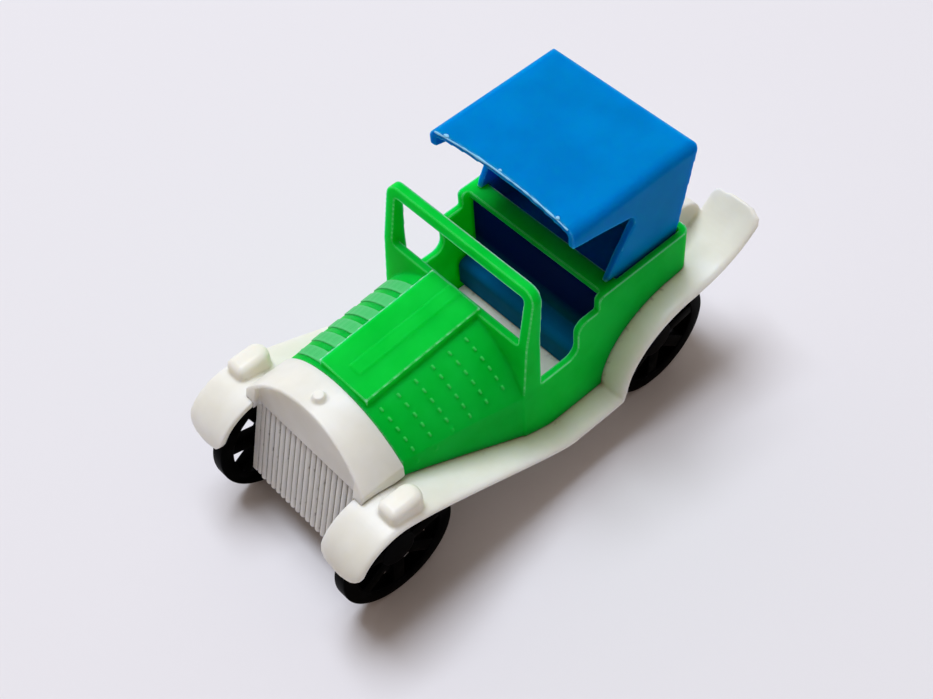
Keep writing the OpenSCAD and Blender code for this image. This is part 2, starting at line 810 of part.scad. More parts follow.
// Wheel with its inner face on the plane z = 0 and its outer face up
module wheel() {
    hub_r = hub_d / 2;
    difference() {
        union() {
            difference() {
                cylinder(r = wheel_r, h = wheel_w);
                translate([0, 0, -1]) cylinder(r = wheel_r - rim_t, h = wheel_w + 2);
            }
            translate([0, 0, -hub_boss]) cylinder(r = hub_r, h = wheel_w + hub_boss);
            for (i = [0 : spoke_count - 1]) rotate(i * 360 / spoke_count)
                translate([0, -spoke_w / 2, 0]) cube([wheel_r - rim_t / 2, spoke_w, wheel_w]);
        }
        translate([0, 0, -1]) cylinder(r = axle_r - hub_squeeze, h = 1 + hub_depth);
    }
}

// Places a wheel at an axle on one side: 1 for the car's left, -1 for its right
module wheel_at(x, side) {
    color(black) translate([x, side * wheel_in_y, wheel_r]) rotate([-side * 90, 0, 0])
        rotate(-side * spoke_turn) wheel();
}

chassis();
radiator();
body();
roof();
seat();
axle(front_axle_x);  // front_axle
axle(rear_axle_x);  // rear_axle
wheel_at(front_axle_x, 1);  // wheel_front_left
wheel_at(front_axle_x, -1);  // wheel_front_right
wheel_at(rear_axle_x, 1);  // wheel_rear_left
wheel_at(rear_axle_x, -1);  // wheel_rear_right
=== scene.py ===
import bpy
import json
import math
from mathutils import Matrix, Vector, noise


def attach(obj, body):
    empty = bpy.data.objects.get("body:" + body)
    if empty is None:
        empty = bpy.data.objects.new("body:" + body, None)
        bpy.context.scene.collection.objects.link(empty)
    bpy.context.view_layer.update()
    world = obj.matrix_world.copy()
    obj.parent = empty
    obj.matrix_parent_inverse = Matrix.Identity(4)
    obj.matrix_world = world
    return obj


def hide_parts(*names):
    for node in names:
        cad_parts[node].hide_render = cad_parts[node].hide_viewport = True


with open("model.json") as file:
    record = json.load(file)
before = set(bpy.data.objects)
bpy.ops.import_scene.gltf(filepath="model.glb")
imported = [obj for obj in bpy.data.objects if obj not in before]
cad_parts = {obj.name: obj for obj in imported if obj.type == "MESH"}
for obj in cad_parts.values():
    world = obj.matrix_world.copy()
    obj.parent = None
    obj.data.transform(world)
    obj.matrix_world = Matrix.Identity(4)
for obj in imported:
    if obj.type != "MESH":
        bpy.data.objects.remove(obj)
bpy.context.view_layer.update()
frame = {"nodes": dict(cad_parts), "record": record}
nodes = frame["nodes"]
mm = 0.001
bpy.context.scene.view_settings.view_transform = "Standard"
print("frame loaded:", len(nodes), "nodes")


# camera, in metres

viewpoint = {
    "place": (0.08652, 0.10596, 0.19139), "aim": (0.00382, 0.00201, 0.02), "roll": -5.0, "lens": 58.2,
}


def lookAt(place, aim):
    return (Vector(aim) - Vector(place)).to_track_quat("-Z", "Y")


bpy.ops.object.camera_add(location=viewpoint["place"])
camera = bpy.context.object
camera.name = "photoCamera"
camera.data.lens = viewpoint["lens"]  # on the default 36 mm wide sensor
camera.data.clip_start = 0.01
aimTurn = lookAt(viewpoint["place"], viewpoint["aim"]).to_matrix().to_4x4()
camera.rotation_euler = (aimTurn @ Matrix.Rotation(math.radians(viewpoint["roll"]), 4, "Z")).to_euler()
bpy.context.scene.camera = camera
print("camera set")


# material helpers

def linearColour(hexText):
    channels = [int(hexText[i:i + 2], 16) / 255 for i in (1, 3, 5)]
    return [c / 12.92 if c <= 0.04045 else ((c + 0.055) / 1.055) ** 2.4 for c in channels] + [1.0]


def addNode(tree, kind, settings={}, inputs={}):
    node = tree.nodes.new(kind)
    for name, value in settings.items():
        setattr(node, name, value)
    for name, value in inputs.items():
        if isinstance(value, bpy.types.NodeSocket):
            tree.links.new(value, node.inputs[name])
        else:
            node.inputs[name].default_value = value
    return node


def newMaterial(name):
    material = bpy.data.materials.new(name)
    material.use_nodes = True
    return material, material.node_tree, material.node_tree.nodes["Principled BSDF"]


def blendColours(tree, factor, first, second):
    mix = addNode(tree, "ShaderNodeMix", {"data_type": "RGBA"}, {"Factor": factor})
    for socket, colour in (("A", first), ("B", second)):
        if isinstance(colour, bpy.types.NodeSocket):
            tree.links.new(colour, mix.inputs[socket])
        else:
            mix.inputs[socket].default_value = linearColour(colour)
    return mix.outputs["Result"]


def spread(tree, value, low, high, newLow=0.0, newHigh=1.0):
    limits = {"Value": value, "From Min": low, "From Max": high, "To Min": newLow, "To Max": newHigh}
    return addNode(tree, "ShaderNodeMapRange", inputs=limits).outputs["Result"]


# stage: pale floor, cool window light from behind the car's right side, dim warm room

stageLook = {"size": 3.0, "floor": "#E4E2E6"}
roomLook = {
    "lit": "#FFF4E8", "dim": "#B8702C", "toward": (-0.45, -0.55, 0.7), "dimAt": -0.6, "litAt": 0.8,
    "dimStrength": 0.096, "litStrength": 0.48,
}
keyLight = {
    "place": (-0.08, -0.34, 1.45), "aim": (0, 0, 0.02), "size": 0.7, "power": 19.8, "colour": "#EEF5FF",
}


def floorPaper():
    # pale paper without any gloss
    material, tree, shader = newMaterial("matte_paper_floor")
    shader.inputs["Base Color"].default_value = linearColour(stageLook["floor"])
    shader.inputs["Roughness"].default_value = 0.9
    shader.inputs["Specular IOR Level"].default_value = 0.1
    return material


def areaLight(name, light):
    bpy.ops.object.light_add(type="AREA", location=light["place"])
    lamp = bpy.context.object
    lamp.name = name
    lamp.data.size = light["size"]
    lamp.data.energy = light["power"]
    lamp.data.color = linearColour(light["colour"])[:3]
    lamp.rotation_euler = lookAt(light["place"], light["aim"]).to_euler()


def roomSky():
    world = bpy.data.worlds.new("roomSky")
    world.use_nodes = True
    tree = world.node_tree
    aim = addNode(tree, "ShaderNodeTexCoord").outputs["Generated"]
    ends = {0: aim, 1: roomLook["toward"]}
    facing = addNode(tree, "ShaderNodeVectorMath", {"operation": "DOT_PRODUCT"}, ends).outputs["Value"]
    # bright towards the window, brown and dim behind the camera
    share = spread(tree, facing, roomLook["dimAt"], roomLook["litAt"])
    room = blendColours(tree, share, roomLook["dim"], roomLook["lit"])
    glow = spread(tree, share, 0.0, 1.0, roomLook["dimStrength"], roomLook["litStrength"])
    # seen directly or in a reflection, the room is as pale as the floor
    path = addNode(tree, "ShaderNodeLightPath").outputs
    seen = path["Is Camera Ray"]
    for ray in ("Is Glossy Ray", "Is Transmission Ray"):
        either = addNode(tree, "ShaderNodeMath", {"operation": "ADD"}, {0: seen, 1: path[ray]})
        seen = either.outputs["Value"]
    level = addNode(tree, "ShaderNodeMix", inputs={"Factor": seen, "A": glow, "B": 1.0}).outputs["Result"]
    back = tree.nodes["Background"]
    tree.links.new(blendColours(tree, seen, room, stageLook["floor"]), back.inputs["Color"])
    tree.links.new(level, back.inputs["Strength"])
    return world


bpy.ops.object.select_all(action="DESELECT")
bpy.ops.mesh.primitive_plane_add(size=stageLook["size"])
floor = bpy.context.object
floor.name = "floor"
floor.data.materials.append(floorPaper())
areaLight("windowLight", keyLight)
bpy.context.scene.world = roomSky()
print("stage set")


# plastics

plasticPattern = {
    "thin": 0.45, "corner": 1.6, "cloud": 7.0, "speck": 1.3, "grain": 0.9,
    "grainDepth": 0.03, "dirt": "#5A4A30",
}
plainLook = {
    "tint": "#FFFFFF", "rough": 0.34, "shine": 0.01, "grime": 0.0,
    "glow": 0.0, "reach": (1.0, 1.0, 1.0), "depth": 1.0,
}
# waxy off-white that lets light in, with brown specks in its corners
ivoryLook = {
    **plainLook, "name": "ivory_polyethylene",
    "base": "#EFEDE4", "shade": "#E6E3D7", "edge": "#FBFAF4", "creaseDirtAndShade": "#8A8266",
    "shine": 0.3, "grime": 0.5, "glow": 0.7, "reach": (1.0, 0.9, 0.7), "depth": 2.5,
}
# the same off-white painted lighter for the grille, with lighter painted shade between its ribs
grilleLook = {
    **ivoryLook, "name": "ivory_polyethylene_grille_painted_lighter",
    "base": "#FAF4E6", "shade": "#F4EEDE", "creaseDirtAndShade": "#B4AA90",
}
# bright green that glows where light comes through its walls
greenLook = {
    **plainLook, "name": "green_polyethylene",
    "base": "#0ECE40", "shade": "#04C234", "edge": "#9CF4BC", "creaseDirtAndShade": "#00A020",
    "tint": "#50E080", "glow": 1.0, "reach": (0.4, 1.0, 0.6), "depth": 5.0,
}
# small raised dashes, a little paler than the bonnet as a painted highlight on them
louvreLook = {
    **greenLook, "name": "green_polyethylene_relief",
    "base": "#20BE48", "shade": "#18B640", "edge": "#3CCC58", "creaseDirtAndShade": "#009A30", "glow": 0.0,
}
# pale green bars on the far side, their paleness a painted sheen
barLook = {
    **louvreLook, "name": "green_polyethylene_bars_painted_sheen",
    "base": "#40BC66", "shade": "#34B45A", "edge": "#58C878", "creaseDirtAndShade": "#28A850",
}
# clear blue, deeper where light comes through its walls
blueLook = {
    **plainLook, "name": "blue_polyethylene",
    "base": "#0082CA", "shade": "#007AC0", "edge": "#58B8EE", "creaseDirtAndShade": "#005CA0",
    "tint": "#40A8F4", "glow": 1.0, "reach": (0.1, 0.35, 1.0), "depth": 4.0,
}
# dull blue, with painted shade of the roof that makes it almost black towards the top of the seat
seatLook = {
    **plainLook, "name": "dark_blue_polyethylene",
    "base": "#06689C", "shade": "#045E92", "edge": "#06689C", "creaseDirtAndShade": "#02487A",
    "tint": "#40A8F4", "rough": 0.5, "paintedRoofShade": "#021E70", "paintedShadeHeights": (18.5, 21.5),
}
# whitish blue of a torn edge
flashLook = {
    **plainLook, "name": "stress_whitened_polyethylene",
    "base": "#58B0E2", "shade": "#2C90D0", "edge": "#8CCCF0", "creaseDirtAndShade": "#2A7CB8",
    "rough": 0.4, "shine": 0.1,
}
# deep black with hardly any sheen
blackLook = {
    **plainLook, "name": "black_polystyrene",
    "base": "#020202", "shade": "#010101", "edge": "#060607", "creaseDirtAndShade": "#010101",
    "tint": "#8090A8", "rough": 0.4,
}


def noisePattern(tree, place, size, detail):
    settings = {"Vector": place, "Scale": 1 / (size * mm), "Detail": detail}
    return addNode(tree, "ShaderNodeTexNoise", inputs=settings).outputs["Fac"]


def closeness(tree, distance, settings):
    reach = {"Distance": distance * mm}
    return addNode(tree, "ShaderNodeAmbientOcclusion", {"samples": 8, **settings}, reach).outputs["AO"]


def mouldedPlastic(look):
    pattern = plasticPattern
    material, tree, shader = newMaterial(look["name"])
    place = addNode(tree, "ShaderNodeTexCoord").outputs["Object"]
    thickness = closeness(tree, pattern["thin"], {"inside": True, "only_local": True})
    openness = closeness(tree, pattern["corner"], {})
    # cloudy colour of a cheap moulding
    mottle = noisePattern(tree, place, pattern["cloud"], 3.0)
    colour = blendColours(tree, spread(tree, mottle, 0.35, 0.65), look["base"], look["shade"])
    if "paintedRoofShade" in look:
        # painted shade of the roof: darker towards the top
        height = addNode(tree, "ShaderNodeSeparateXYZ", inputs={"Vector": place}).outputs["Z"]
        low, high = look["paintedShadeHeights"]
        colour = blendColours(tree, spread(tree, height, low * mm, high * mm), colour, look["paintedRoofShade"])
    # pale thin edges: painted highlight and painted glow of light through thin walls, partly real whitening
    # of worn edges
    colour = blendColours(tree, spread(tree, thickness, 0.85, 0.5), colour, look["edge"])
    # darker where faces meet: painted shade in corners and creases, with brown dirt in them on the off-white
    colour = blendColours(tree, spread(tree, openness, 0.6, 0.2), colour, look["creaseDirtAndShade"])
    # brown specks that gather in the corners
    specks = spread(tree, noisePattern(tree, place, pattern["speck"], 2.0), 0.6, 0.72)
    corner = spread(tree, openness, 0.8, 0.55, 0.0, look["grime"])
    grime = addNode(tree, "ShaderNodeMath", {"operation": "MULTIPLY"}, {0: corner, 1: specks})
    colour = blendColours(tree, grime.outputs["Value"], colour, pattern["dirt"])
    tree.links.new(colour, shader.inputs["Base Color"])
    # gloss that varies a little from handling
    rough = spread(tree, mottle, 0.3, 0.7, look["rough"] - 0.05, look["rough"] + 0.08)
    tree.links.new(rough, shader.inputs["Roughness"])
    # fine grain of the mould
    grain = noisePattern(tree, place, pattern["grain"], 2.0)
    relief = {"Strength": 0.25, "Distance": pattern["grainDepth"] * mm, "Height": grain}
    tree.links.new(addNode(tree, "ShaderNodeBump", inputs=relief).outputs["Normal"], shader.inputs["Normal"])
    shader.inputs["IOR"].default_value = 1.51
    shader.inputs["Specular IOR Level"].default_value = look["shine"]
    shader.inputs["Specular Tint"].default_value = linearColour(look["tint"])
    shader.inputs["Subsurface Weight"].default_value = look["glow"]
    shader.inputs["Subsurface Radius"].default_value = look["reach"]
    shader.inputs["Subsurface Scale"].default_value = look["depth"] * mm
    return material


ivory = mouldedPlastic(ivoryLook)
grilleIvory = mouldedPlastic(grilleLook)
green = mouldedPlastic(greenLook)
reliefGreen = mouldedPlastic(louvreLook)
barGreen = mouldedPlastic(barLook)
blue = mouldedPlastic(blueLook)
seatBlue = mouldedPlastic(seatLook)
whitened = mouldedPlastic(flashLook)
black = mouldedPlastic(blackLook)
paint = {"ivory_plastic": ivory, "green_plastic": green, "blue_plastic": blue, "black_plastic": black}
for part in frame["record"]["subparts"]:
    mesh = nodes[part["node"]].data
    mesh.materials.clear()
    mesh.materials.append(paint[part["material_slot"]])
print("plastics ready")


# modelling helpers, all lengths in millimetres

def deselect():
    if bpy.context.object and bpy.context.object.mode != "OBJECT":
        bpy.ops.object.mode_set(mode="OBJECT")
    bpy.ops.object.select_all(action="DESELECT")


def choose(piece):
    deselect()
    piece.select_set(True)
    bpy.context.view_layer.objects.active = piece


def settle(name):
    piece = bpy.context.object
    piece.name = name
    bpy.ops.object.transform_apply(location=True, rotation=True, scale=True)
    return piece


def block(name, low, high):
    deselect()
    middle = [(a + b) / 2 * mm for a, b in zip(low, high)]
    span = [(b - a) * mm for a, b in zip(low, high)]
    bpy.ops.mesh.primitive_cube_add(size=1, location=middle, scale=span)
    return settle(name)


def crossRod(name, radius, low, high, sides):
    deselect()
    middle = (Vector(low) + Vector(high)) / 2 * mm
    depth = (Vector(high) - Vector(low)).length * mm
    sideways = (math.pi / 2, 0, 0)
    bpy.ops.mesh.primitive_cylinder_add(
        vertices=sides, radius=radius * mm, depth=depth, location=middle, rotation=sideways)
    return settle(name)


def modify(piece, kind, **settings):
    choose(piece)
    modifier = piece.modifiers.new(kind.lower(), kind)
    for name, value in settings.items():
        setattr(modifier, name, value)
    bpy.ops.object.modifier_apply(modifier=modifier.name)


def soften(piece, width, segments=3, angle=35):
    limit = math.radians(angle)
    modify(piece, "BEVEL", width=width * mm, segments=segments, limit_method="ANGLE", angle_limit=limit)


def fuse(piece, mesh):
    modify(piece, "REMESH", mode="VOXEL", voxel_size=mesh["voxel"] * mm)
    modify(piece, "SMOOTH", factor=0.5, iterations=mesh["passes"])
    modify(piece, "DECIMATE", ratio=mesh["keep"])


def editAll(piece, operate, **settings):
    choose(piece)
    bpy.ops.object.mode_set(mode="EDIT")
    bpy.ops.mesh.select_all(action="SELECT")
    operate(**settings)
    bpy.ops.object.mode_set(mode="OBJECT")


def slicePiece(piece, point, normal):
    plane = {"plane_co": Vector(point) * mm, "plane_no": normal}
    editAll(piece, bpy.ops.mesh.bisect, use_fill=True, clear_outer=True, **plane)


# leaves the piece in edit mode with what passes the test selected
def pick(piece, kind, test):
    choose(piece)
    bpy.ops.object.mode_set(mode="EDIT")
    bpy.ops.mesh.select_mode(type=kind)
    bpy.ops.mesh.select_all(action="DESELECT")
    bpy.ops.object.mode_set(mode="OBJECT")
    parts = {"VERT": piece.data.vertices, "EDGE": piece.data.edges, "FACE": piece.data.polygons}
    for item in parts[kind]:
        item.select = test(item)
    bpy.ops.object.mode_set(mode="EDIT")


def pickEdges(piece, test):
    spots = [v.co / mm for v in piece.data.vertices]
    pick(piece, "EDGE", lambda edge: test(spots[edge.vertices[0]], spots[edge.vertices[1]]))


def roundEdges(piece, radius, segments, test):
    pickEdges(piece, test)
    bpy.ops.mesh.bevel(offset=radius * mm, segments=segments, affect="EDGES")
    bpy.ops.object.mode_set(mode="OBJECT")


def joinPieces(pieces):
    choose(pieces[0])
    for piece in pieces:
        piece.select_set(True)
    bpy.ops.object.join()
    return pieces[0]


def mirrored(piece, name):
    choose(piece)
    bpy.ops.object.duplicate()
    bpy.ops.transform.resize(value=(1, -1, 1), center_override=(0, 0, 0))
    twin = settle(name)
    editAll(twin, bpy.ops.mesh.normals_make_consistent, inside=False)
    return twin


def cadCopy(name, node):
    deselect()
    piece = nodes[node].copy()
    piece.data = nodes[node].data.copy()
    piece.name = name
    bpy.context.scene.collection.objects.link(piece)
    piece.parent = None
    piece.matrix_world = nodes[node].matrix_world.copy()
    choose(piece)
    bpy.ops.object.transform_apply(location=True, rotation=True, scale=True)
    editAll(piece, bpy.ops.mesh.remove_doubles, threshold=0.001 * mm)
    return piece


def finishPiece(piece, material, body, replaced=None, angle=50):
    choose(piece)
    piece.data.materials.clear()
    piece.data.materials.append(material)
    bpy.ops.object.shade_smooth_by_angle(angle=math.radians(angle))
    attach(piece, body)
    if replaced:
        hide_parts(replaced)
    print(piece.name, len(piece.data.polygons), "faces")


# chassis: swept fenders with a rolled lip, soft headlamps, and the floor and walls of the moulding

fenderShape = {
    "inner": 11.0, "outer": 19.2, "thick": 1.0, "tipCorner": 3.4, "tailCorner": 2.3, "innerCorner": 2.6,
    "tailInner": 10.3, "reachFrom": -30.0, "reachOver": 1.5,
    "tip": (39.35, 15.4), "frontCrown": (31.15, 22.0), "sweep": ((25.65, 22.0), (2.2, 9.9)),
    "boardFront": (-1.3, 9.9), "boardRear": (-11.05, 9.9), "rearCrown": (-25.85, 22.0),
    "tailHandle": (-34.85, 22.6), "tail": (-39.35, 28.2),
    "roll": (
        (0, 0), (0.4, 0), (0.7, -0.02), (0.84, -0.06),
        (0.92, -0.16), (0.965, -0.32), (0.99, -0.58), (1, -0.95),
    ),
}
lampShape = {
    "middle": 16.5, "width": 3.8, "rear": 25.4, "front": 31.5, "low": 20.9, "top": 24.15,
    "rearRound": 1.8, "frontRound": 1.0, "topRound": 1.2,
}
chassisShape = {"half": 12.3, "voxel": 0.18, "passes": 5, "keep": 0.26}


def bezierPoints(handles, count):
    points = []
    for i in range(1, count + 1):
        layer = [Vector(h) for h in handles]
        while len(layer) > 1:
            layer = [a.lerp(b, i / count) for a, b in zip(layer, layer[1:])]
        points.append(layer[0])
    return points


def quarterPoints(side, crown, count):
    points = []
    for i in range(count + 1):
        turn = i / count * math.pi / 2
        across = crown[0] + (side[0] - crown[0]) * math.cos(turn)
        points.append(Vector((across, side[1] + (crown[1] - side[1]) * math.sin(turn))))
    return points


def fenderLine():
    shape = fenderShape
    line = quarterPoints(shape["tip"], shape["frontCrown"], 18)
    line += bezierPoints((shape["frontCrown"], *shape["sweep"], shape["boardFront"]), 26)
    line += bezierPoints((shape["boardFront"], shape["boardRear"]), 4)
    line += quarterPoints(shape["boardRear"], shape["rearCrown"], 18)[1:]
    line += bezierPoints((shape["rearCrown"], shape["tailHandle"], shape["tail"]), 16)
    return line


def cornerInset(distance, radius):
    return 0.0 if distance >= radius else radius - math.sqrt(radius ** 2 - (radius - distance) ** 2)


def fenderEdges(place, fromTip, fromTail):
    shape = fenderShape
    # behind the tub the fender reaches in to the box at the tail
    share = min(1.0, max(0.0, (shape["reachFrom"] - place) / shape["reachOver"]))
    inward = share * (shape["inner"] - shape["tailInner"])
    tipInset = cornerInset(fromTip, shape["tipCorner"])
    low = shape["inner"] - inward + max(tipInset, cornerInset(fromTail, shape["innerCorner"]))
    high = shape["outer"] - max(tipInset, cornerInset(fromTail, shape["tailCorner"]))
    return low, high


# one cross line of the fender at its tip, where the fender runs straight up
def crossLine(name, start, width):
    shape = fenderShape
    deselect()
    bpy.ops.mesh.primitive_plane_add(size=mm)
    fender = settle(name)
    pick(fender, "VERT", lambda vertex: vertex.co.x > 0)
    bpy.ops.mesh.delete(type="VERT")
    bpy.ops.mesh.select_all(action="SELECT")
    bpy.ops.mesh.subdivide(number_cuts=len(shape["roll"]) - 2)
    bpy.ops.object.mode_set(mode="OBJECT")
    row = sorted(fender.data.vertices, key=lambda vertex: vertex.co.y)
    for vertex, (across, drop) in zip(row, shape["roll"]):
        vertex.co = Vector((start.x + drop, shape["inner"] + across * width, start.y)) * mm
    return fender


# draws the cross line along the fender, turning it with the line and fitting it to the edges
def sweptFender(name):
    shape = fenderShape
    line = fenderLine()
    width = shape["outer"] - shape["inner"]
    middle = (shape["outer"] + shape["inner"]) / 2
    steps = [0.0]
    for a, b in zip(line, line[1:]):
        steps.append(steps[-1] + (b - a).length)
    fender = crossLine(name, line[0], width)
    bpy.ops.object.mode_set(mode="EDIT")
    bpy.ops.mesh.select_all(action="SELECT")
    heading = math.pi / 2
    low, high = fenderEdges(line[0].x, 0.0, steps[-1])
    bpy.ops.transform.resize(value=(1, (high - low) / width, 1), center_override=(0, middle * mm, 0))
    for i in range(1, len(line)):
        move = line[i] - line[i - 1]
        bpy.ops.mesh.extrude_region_move(TRANSFORM_OT_translate={"value": (move.x * mm, 0, move.y * mm)})
        ahead = line[min(i + 1, len(line) - 1)] - line[i - 1]
        newHeading = math.atan2(ahead.y, ahead.x)
        turn = (newHeading - heading + math.pi) % (2 * math.pi) - math.pi
        spot = Vector((line[i].x, middle, line[i].y)) * mm
        bpy.ops.transform.rotate(value=turn, orient_axis="Y", orient_type="GLOBAL", center_override=spot)
        newLow, newHigh = fenderEdges(line[i].x, steps[i], steps[-1] - steps[i])
        if (newLow, newHigh) != (low, high):
            spot = Vector((line[i].x, (low + high) / 2, line[i].y)) * mm
            bpy.ops.transform.resize(value=(1, (newHigh - newLow) / (high - low), 1), center_override=spot)
            bpy.ops.transform.translate(value=(0, (newLow + newHigh - low - high) / 2 * mm, 0))
        heading = newHeading
        low, high = newLow, newHigh
    bpy.ops.object.mode_set(mode="OBJECT")
    return fender


def fenderPlate(name):
    fender = sweptFender(name)
    crownFace = max(fender.data.polygons, key=lambda face: abs(face.normal.z))
    if crownFace.normal.z < 0:
        editAll(fender, bpy.ops.mesh.flip_normals)
    modify(fender, "SOLIDIFY", thickness=fenderShape["thick"] * mm, offset=-1)
    return fender


def softLamp(name):
    shape = lampShape
    near = 0.1
    low = (shape["rear"], shape["middle"] - shape["width"] / 2, shape["low"])
    high = (shape["front"], shape["middle"] + shape["width"] / 2, shape["top"])
    lamp = block(name, low, high)
    rear = shape["rear"] + near
    front = shape["front"] - near
    top = shape["top"] - near
    roundEdges(lamp, shape["rearRound"], 8, lambda a, b: max(a.x, b.x) < rear and abs(a.y - b.y) < near)
    roundEdges(lamp, shape["frontRound"], 5, lambda a, b: min(a.x, b.x) > front and abs(a.y - b.y) < near)
    roundEdges(lamp, shape["topRound"], 6, lambda a, b: min(a.z, b.z) > top)
    return lamp


fenderLeft = fenderPlate("fenderLeft")
lampLeft = softLamp("lampLeft")
chassis = cadCopy("chassisMoulding", "chassis")
for side in (1, -1):
    slicePiece(chassis, (0, side * chassisShape["half"], 0), (0, side, 0))
twins = [mirrored(fenderLeft, "fenderRight"), mirrored(lampLeft, "lampRight")]
chassis = joinPieces([chassis, fenderLeft, lampLeft, *twins])
fuse(chassis, chassisShape)
finishPiece(chassis, ivory, "car", "chassis")


# radiator: soft arched shell with a bare leaning front, a cap, and a ribbed grille

shellShape = {
    "foot": 21.0, "visor": 31.25, "lean": 15.0, "cap": 27.95, "capTop": 30.4, "capDraw": 0.7,
    "voxel": 0.15, "passes": 5, "keep": 0.5,
}
grilleShape = {
    "count": 18, "radius": 0.5, "half": 10.1, "border": 10.9, "low": 6.5, "thick": 0.9, "recess": 0.3,
    "top": 1.3, "slabRound": 0.2, "edgeRound": 0.25,
}


def radiatorShell():
    shape = shellShape
    shell = cadCopy("radiatorShell", "radiator")
    # the cap's top is drawn in to a low button
    for vertex in shell.data.vertices:
        spot = vertex.co / mm
        if spot.z > shape["capTop"]:
            vertex.co.x = (shape["cap"] + (spot.x - shape["cap"]) * shape["capDraw"]) * mm
            vertex.co.y = spot.y * shape["capDraw"] * mm
    slicePiece(shell, (0, 0, shape["foot"]), (0, 0, -1))
    fuse(shell, shape)
    return shell


def grille():
    shape = grilleShape
    lean = math.radians(shellShape["lean"])
    front = -shape["recess"] - shape["radius"]
    rear = front - shape["thick"]
    foot = shape["radius"] - (shellShape["foot"] - shape["low"]) / math.cos(lean)
    start = Vector((front, shape["radius"] - shape["half"], foot)) * mm
    deselect()
    ball = {"segments": 20, "ring_count": 12, "radius": shape["radius"] * mm}
    bpy.ops.mesh.primitive_uv_sphere_add(location=start, **ball)
    ribs = settle("grilleRibs")
    pick(ribs, "VERT", lambda vertex: vertex.co.z > (foot + 0.01) * mm)
    bpy.ops.transform.translate(value=(0, 0, (shape["top"] - foot) * mm))
    bpy.ops.object.mode_set(mode="OBJECT")
    pitch = 2 * (shape["half"] - shape["radius"]) / (shape["count"] - 1)
    step = {"use_constant_offset": True, "constant_offset_displace": (0, pitch * mm, 0)}
    modify(ribs, "ARRAY", count=shape["count"], use_relative_offset=False, **step)
    slab = block("grilleSlab", (rear, -shape["border"], foot), (front, shape["border"], shape["top"]))
    soften(slab, shape["slabRound"], 2)
    # plain border at the left and at the right of the ribs
    edgeFront = (front + shape["radius"], shape["border"], shape["top"])
    edge = block("grilleEdge", (rear, shape["half"], foot), edgeFront)
    soften(edge, shape["edgeRound"])
    ribs = joinPieces([ribs, slab, edge, mirrored(edge, "grilleEdgeRight")])
    ribs.rotation_euler = (0, -lean, 0)
    ribs.location = Vector((shellShape["visor"], 0, shellShape["foot"])) * mm
    return settle("grilleRibs")


finishPiece(radiatorShell(), ivory, "car", "radiator")
finishPiece(grille(), grilleIvory, "car", "radiator")


# body: the moulded form with soft edges, dashes on the left and bars on the right of its bonnet

bodyMesh = {"voxel": 0.15, "passes": 3, "keep": 0.26}
barMesh = {"voxel": 0.08, "passes": 6, "keep": 0.4}
dashShape = {
    "front": 24.6, "crown": 29.2, "radius": 16.0, "rise": 4.5, "frontHalf": 12.2, "widen": 0.1,
    "left": (0.7, 0.36, 0.44), "right": (2.6, 2.1, 0.34), "sink": 0.2, "round": 0.12,
    "rows": 6, "pitch": 3.1, "lead": 1.9, "count": 6, "firstTurn": 23.5, "turn": 6.0,
}


def dashRows(name, size):
    shape = dashShape
    long, wide, high = size
    foot = shape["radius"] - shape["sink"]
    hub = Vector((0, 0, 0))
    dashes = []
    for row in range(shape["rows"]):
        behind = shape["lead"] + row * shape["pitch"]
        for i in range(shape["count"]):
            angle = math.radians(shape["firstTurn"] + i * shape["turn"])
            # a dash that would reach past the end of the arch is left out
            reach = shape["radius"] * math.sin(angle) + long / 2 * math.cos(angle)
            if reach > shape["frontHalf"] + shape["widen"] * behind:
                continue
            dash = block("dash", (-wide / 2, -long / 2, foot), (wide / 2, long / 2, foot + high))
            soften(dash, shape["round"], 2)
            choose(dash)
            bpy.ops.transform.rotate(value=angle, orient_axis="X", orient_type="GLOBAL", center_override=hub)
            dash = settle("dash")
            dash.location = Vector((-behind, 0, -shape["radius"])) * mm
            dashes.append(settle("dash"))
    dashes = joinPieces(dashes)
    dashes.rotation_euler = (0, math.radians(shape["rise"]), 0)
    dashes.location = Vector((shape["front"], 0, shape["crown"])) * mm
    return settle(name)


body = cadCopy("bodyMoulding", "body")
fuse(body, bodyMesh)
finishPiece(body, green, "car", "body")
finishPiece(dashRows("dashRowsLeft", dashShape["left"]), reliefGreen, "car")
# on the right the dashes run together to one bar in each row, pale with painted sheen
bars = dashRows("dashRows", dashShape["right"])
fuse(bars, barMesh)
finishPiece(mirrored(bars, "dashRowsRight"), barGreen, "car")
choose(bars)
bpy.ops.object.delete()


# roof: the moulded form with soft edges, and flash along its front edge

roofMesh = {"voxel": 0.2, "passes": 5, "keep": 0.4}
flashShape = {
    "front": -5.63, "height": 46.4, "half": 12.9, "bow": 1.1, "bowHalf": 14.1, "bead": 0.15,
    "swell": 0.9, "wander": 0.12, "lift": 0.1,
    "marks": ((-11.0, 1.0), (-1.0, 0.6), (10.6, 0.7)),
    "markWide": 0.26, "markHigh": 0.16, "markBack": 0.25, "markUp": 0.14,
}


def edgeBow(y):
    return flashShape["bow"] * max(0.0, 1 - (y / flashShape["bowHalf"]) ** 2)


# thin bead that follows the bowed edge, thicker and thinner by turns
def flashBead(place):
    shape = flashShape
    reach = Vector((0, shape["half"], 0))
    bead = crossRod("edgeFlash", shape["bead"], place - reach, place + reach, 8)
    pickEdges(bead, lambda a, b: abs(a.y - b.y) > 1)
    bpy.ops.mesh.subdivide(number_cuts=80)
    bpy.ops.object.mode_set(mode="OBJECT")
    for vertex in bead.data.vertices:
        spot = vertex.co / mm
        wave = noise.noise((spot.y * 0.5, 1.7, 0))
        swell = 1 + shape["swell"] * noise.noise((spot.y * 0.9, 4.2, 0))
        core = place + Vector((0, spot.y, 0))
        bend = Vector((-edgeBow(spot.y) + shape["wander"] * wave, 0, shape["lift"] * wave))
        vertex.co = (core + (spot - core) * swell + bend) * mm
    return bead


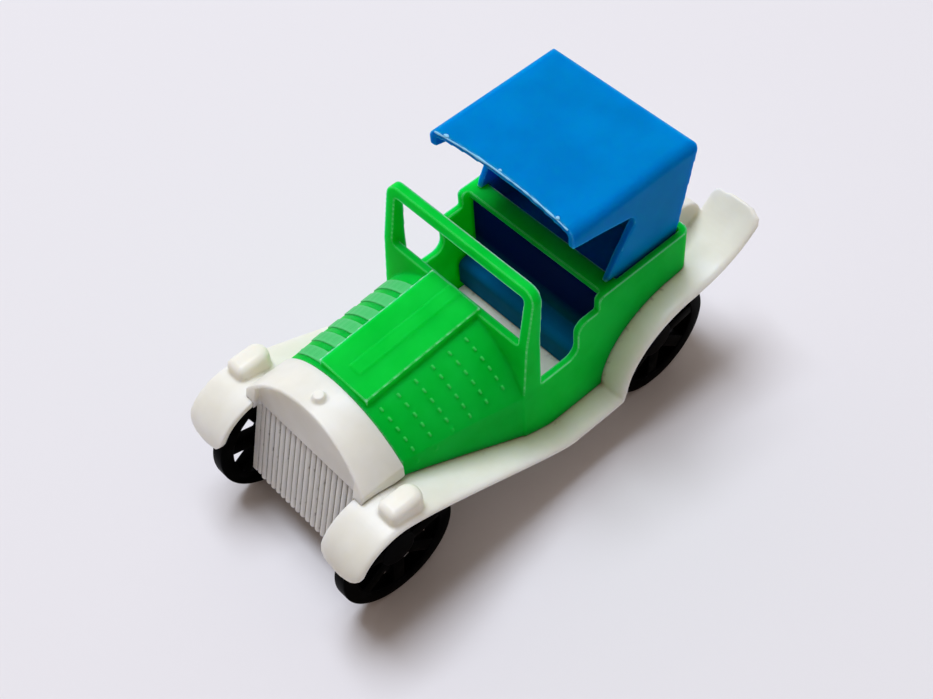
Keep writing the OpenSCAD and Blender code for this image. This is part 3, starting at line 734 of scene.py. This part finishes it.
def edgeFlash():
    shape = flashShape
    place = Vector((shape["front"], 0, shape["height"]))
    pieces = [flashBead(place)]
    for y, length in shape["marks"]:
        deselect()
        middle = (place + Vector((-edgeBow(y) - shape["markBack"], y, shape["markUp"]))) * mm
        span = (shape["markWide"], length / 2, shape["markHigh"])
        ball = {"segments": 16, "ring_count": 10, "radius": mm}
        bpy.ops.mesh.primitive_uv_sphere_add(location=middle, scale=span, **ball)
        mark = settle("edgeMark")
        for vertex in mark.data.vertices:
            vertex.co.x += 0.25 * mm * noise.noise(vertex.co / mm * 1.5)
        pieces.append(mark)
    return joinPieces(pieces)


roof = cadCopy("roofMoulding", "roof")
fuse(roof, roofMesh)
finishPiece(roof, blue, "roof", "roof")
finishPiece(edgeFlash(), whitened, "roof")


# seat: the moulded form with soft edges

seatMesh = {"voxel": 0.2, "passes": 8, "keep": 0.4}
seat = cadCopy("seatMoulding", "seat")
fuse(seat, seatMesh)
finishPiece(seat, seatBlue, "car", "seat")


# wheels: rim, hub and spokes, deep black

wheelShape = {
    "front": 29.15, "rear": -22.85, "radius": 9.8, "inner": 12.8, "outer": 15.0,
    "rim": 2.3, "rimRound": 0.22, "hub": 3.0, "hubBack": 0.3, "hubRound": 0.3,
    "spoke": 2.1, "spokeSink": 0.1, "spokeRound": 0.2, "count": 7, "turn": 18.0, "smooth": 30,
}


def wheelRim(name, place):
    shape = wheelShape
    middle = shape["radius"]
    low = (place, shape["inner"], middle)
    high = (place, shape["outer"], middle)
    rim = crossRod(name, shape["radius"], low, high, 96)
    pick(rim, "FACE", lambda face: len(face.vertices) > 4)
    bpy.ops.mesh.inset(thickness=shape["rim"] * mm, use_individual=True)
    bpy.ops.mesh.bridge_edge_loops()
    bpy.ops.object.mode_set(mode="OBJECT")
    soften(rim, shape["rimRound"])
    return rim


def wheel(name, place):
    shape = wheelShape
    middle = shape["radius"]
    inner = shape["inner"] - shape["hubBack"]
    hub = crossRod(name + "Hub", shape["hub"], (place, inner, middle), (place, shape["outer"], middle), 48)
    soften(hub, shape["hubRound"])
    pieces = [wheelRim(name, place), hub]
    reach = place + shape["radius"] - shape["rim"] / 2
    half = shape["spoke"] / 2
    low = (place, shape["inner"] + shape["spokeSink"], middle - half)
    high = (reach, shape["outer"] - shape["spokeSink"], middle + half)
    spot = Vector((place, 0, middle)) * mm
    for i in range(shape["count"]):
        spoke = block(name + "Spoke", low, high)
        soften(spoke, shape["spokeRound"], 2)
        choose(spoke)
        angle = math.radians(shape["turn"] + i * 360 / shape["count"])
        bpy.ops.transform.rotate(value=angle, orient_axis="Y", orient_type="GLOBAL", center_override=spot)
        pieces.append(settle(spoke.name))
    return joinPieces(pieces)


for end in ("front", "rear"):
    left = wheel(end + "WheelLeft", wheelShape[end])
    right = mirrored(left, end + "WheelRight")
    for piece, side in ((left, "left"), (right, "right")):
        node = "wheel_" + end + "_" + side
        finishPiece(piece, black, end + "_wheels", node, wheelShape["smooth"])
